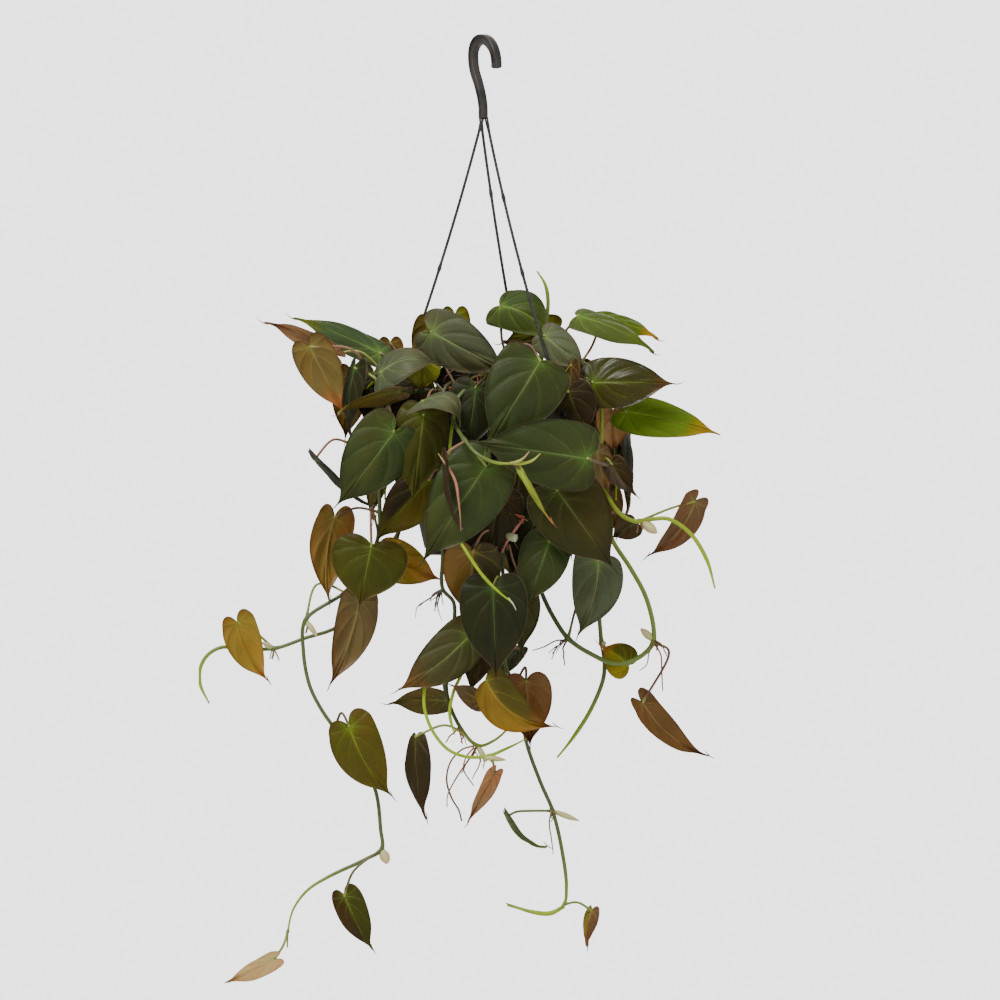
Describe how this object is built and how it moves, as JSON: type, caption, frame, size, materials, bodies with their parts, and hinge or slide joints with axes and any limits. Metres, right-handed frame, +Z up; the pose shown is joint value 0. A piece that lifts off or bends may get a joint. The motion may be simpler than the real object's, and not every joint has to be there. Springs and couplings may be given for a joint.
{
  "type": "potted micans philodendron",
  "caption": "Trailing philodendron with velvety heart-shaped leaves, bronze beneath, in a round black pot hung from a hook on thin strands.",
  "frame": {"origin": "the point under the hook's crown that bears on the nail or rail it hangs from", "axes": "+Z up along the hanging line, +X to the right and +Y away from the viewer as in the picture"},
  "size_m": [0.4297, 0.2836, 0.7815],
  "materials": {
    "black_plastic": "semi-gloss moulded black plastic",
    "strand_plastic": "smooth dark grey plastic strand",
    "potting_mix": "rough peat and bark potting mix",
    "foliage": "velvety leaf, dark green above and bronze beneath, with smooth green stems"
  },
  "bodies": {
    "root": {"hook": "black_plastic", "strand_left": "strand_plastic", "strand_back": "strand_plastic", "strand_right": "strand_plastic", "pot": "black_plastic", "soil": "potting_mix", "vine_left_long": "foliage", "vine_left_reach": "foliage", "vine_left_near": "foliage", "vine_left_crown": "foliage", "vine_front_left": "foliage", "vine_front_shoots": "foliage", "vine_front_centre": "foliage", "vine_front_right": "foliage", "vine_right_reach": "foliage", "vine_right_loop": "foliage", "vine_right_low": "foliage", "vine_right_crown": "foliage", "vine_crown_top": "foliage", "vine_crown_middle": "foliage", "vine_back_1": "foliage", "vine_back_2": "foliage", "vine_back_3": "foliage", "vine_back_4": "foliage", "vine_back_5": "foliage", "vine_back_6": "foliage", "vine_back_7": "foliage", "vine_back_8": "foliage", "vine_back_9": "foliage"}
  },
  "joints": []
}
